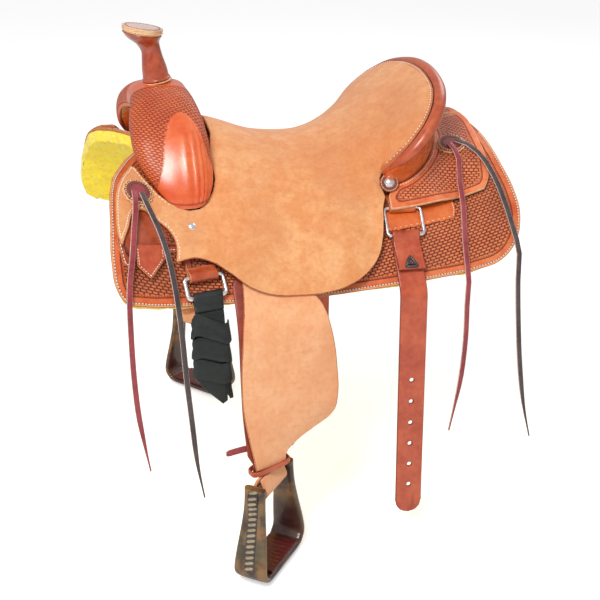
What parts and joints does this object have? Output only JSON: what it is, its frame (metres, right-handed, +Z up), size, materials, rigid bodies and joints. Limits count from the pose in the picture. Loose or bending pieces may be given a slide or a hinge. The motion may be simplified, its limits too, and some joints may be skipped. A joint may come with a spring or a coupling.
{
  "type": "ranch saddle",
  "caption": "Western ranch saddle: tree under wrapped leather, fleece-lined skirts, horn, cantle, swinging fenders with bell stirrups, rigging dees, latigo, billets and strings.",
  "frame": {"origin": "On the centre line at the lowest point of the ridge, on the fleece's underside, where a horse's back or a saddle rack carries the saddle.", "axes": "-X to the front (the horn), -Y to the near (left) side, +Z up."},
  "size_m": [0.6774, 0.7596, 0.7972],
  "materials": {
    "tooled_leather": "basket-stamped saddle leather, satin",
    "saddle_leather": "smooth russet saddle leather, satin",
    "rough_out_leather": "rough-out suede side, matt",
    "burgundy_leather": "dark red latigo leather",
    "black_leather": "oiled black leather",
    "stirrup_leather": "dark brown leather wrapped over the stirrup",
    "cream_leather": "pale leather horn cap",
    "fleece": "yellow sheepskin pile",
    "tree_wood": "rawhide-covered wooden tree",
    "steel": "stainless, lightly scratched"
  },
  "bodies": {
    "saddle": {"skirt_near": "tooled_leather", "skirt_far": "tooled_leather", "fleece_near": "fleece", "fleece_far": "fleece", "tree_bar_near": "tree_wood", "tree_bar_far": "tree_wood", "fork_tree": "tree_wood", "fork_cover": "tooled_leather", "gullet_cover": "saddle_leather", "horn_neck": "saddle_leather", "horn_cap": "cream_leather", "horn_post": "steel", "cantle_tree": "tree_wood", "cantle_back": "saddle_leather", "cantle_roll": "saddle_leather", "seat": "rough_out_leather", "ground_seat": "saddle_leather", "rear_jockey_near": "tooled_leather", "rear_jockey_far": "tooled_leather", "front_rigging_near": "tooled_leather", "front_rigging_far": "tooled_leather", "rear_rigging_near": "saddle_leather", "rear_rigging_far": "saddle_leather", "latigo_keeper": "saddle_leather", "front_rosette_near": "burgundy_leather", "front_rosette_far": "burgundy_leather", "rear_rosette_near": "burgundy_leather", "rear_rosette_far": "burgundy_leather", "cantle_concho_near": "steel", "cantle_concho_far": "steel", "front_string_red_near": "burgundy_leather", "front_string_red_far": "burgundy_leather", "front_string_black_near": "black_leather", "front_string_black_far": "black_leather", "rear_string_red_near": "burgundy_leather", "rear_string_red_far": "burgundy_leather", "rear_string_black_near": "black_leather", "rear_string_black_far": "black_leather"},
    "near_fender": {"fender_near": "rough_out_leather", "stirrup_leather_near": "saddle_leather", "hobble_strap_near": "saddle_leather"},
    "far_fender": {"fender_far": "rough_out_leather", "stirrup_leather_far": "saddle_leather", "hobble_strap_far": "saddle_leather"},
    "near_loop": {"stirrup_loop_near": "saddle_leather"},
    "far_loop": {"stirrup_loop_far": "saddle_leather"},
    "near_stirrup": {"stirrup_near": "stirrup_leather", "stirrup_tread_near": "burgundy_leather", "stirrup_bolt_near": "steel"},
    "far_stirrup": {"stirrup_far": "stirrup_leather", "stirrup_tread_far": "burgundy_leather", "stirrup_bolt_far": "steel"},
    "near_front_dee": {"front_dee_near": "steel"},
    "far_front_dee": {"front_dee_far": "steel"},
    "near_latigo": {"latigo": "black_leather", "latigo_wrap": "black_leather"},
    "near_rear_dee": {"rear_dee_near": "steel"},
    "far_rear_dee": {"rear_dee_far": "steel"},
    "near_billet": {"rear_billet_near": "saddle_leather"},
    "far_billet": {"rear_billet_far": "saddle_leather"}
  },
  "joints": [
    {"name": "fender_swing_near", "type": "hinge", "parent": "saddle", "child": "near_fender", "pos_m": [-0.12, -0.23306, -0.0908], "axis": [0, -0.829, 0.5592], "range_deg": [-3, 25]},
    {"name": "fender_swing_far", "type": "hinge", "parent": "saddle", "child": "far_fender", "pos_m": [-0.12, 0.23306, -0.0908], "axis": [0, 0.829, 0.5592], "range_deg": [-25, 18]},
    {"name": "stirrup_twist_near", "type": "hinge", "parent": "near_fender", "child": "near_loop", "pos_m": [-0.131, -0.3072, -0.4028], "axis": [0, 0, 1], "range_deg": [-45, 45]},
    {"name": "stirrup_twist_far", "type": "hinge", "parent": "far_fender", "child": "far_loop", "pos_m": [-0.131, 0.3072, -0.4028], "axis": [0, 0, 1], "range_deg": [-45, 45]},
    {"name": "stirrup_swing_near", "type": "hinge", "parent": "near_loop", "child": "near_stirrup", "pos_m": [-0.131, -0.3072, -0.4028], "axis": [0.6428, 0.766, 0], "range_deg": [-40, 40]},
    {"name": "stirrup_swing_far", "type": "hinge", "parent": "far_loop", "child": "far_stirrup", "pos_m": [-0.131, 0.3072, -0.4028], "axis": [0.6428, -0.766, 0], "range_deg": [-40, 40]},
    {"name": "front_dee_tilt_near", "type": "hinge", "parent": "saddle", "child": "near_front_dee", "pos_m": [-0.21108, -0.23901, -0.0773], "axis": [-0.9815, -0.1915, 0], "range_deg": [0, 35]},
    {"name": "front_dee_tilt_far", "type": "hinge", "parent": "saddle", "child": "far_front_dee", "pos_m": [-0.21108, 0.23901, -0.0773], "axis": [0.9815, -0.1915, 0], "range_deg": [0, 35]},
    {"name": "latigo_swing", "type": "hinge", "parent": "near_front_dee", "child": "near_latigo", "pos_m": [-0.2078, -0.25581, -0.10315], "axis": [-0.9815, -0.1915, 0], "range_deg": [0, 60]},
    {"name": "rear_dee_tilt_near", "type": "hinge", "parent": "saddle", "child": "near_rear_dee", "pos_m": [0.11691, -0.17696, -0.02253], "axis": [-0.9958, 0.0918, 0], "range_deg": [0, 35]},
    {"name": "rear_dee_tilt_far", "type": "hinge", "parent": "saddle", "child": "far_rear_dee", "pos_m": [0.11691, 0.17696, -0.02253], "axis": [0.9958, 0.0918, 0], "range_deg": [0, 35]},
    {"name": "billet_swing_near", "type": "hinge", "parent": "near_rear_dee", "child": "near_billet", "pos_m": [0.11384, -0.2103, -0.05552], "axis": [-0.9958, 0.0918, 0], "range_deg": [0, 60]},
    {"name": "billet_swing_far", "type": "hinge", "parent": "far_rear_dee", "child": "far_billet", "pos_m": [0.11384, 0.2103, -0.05552], "axis": [0.9958, 0.0918, 0], "range_deg": [0, 60]}
  ]
}
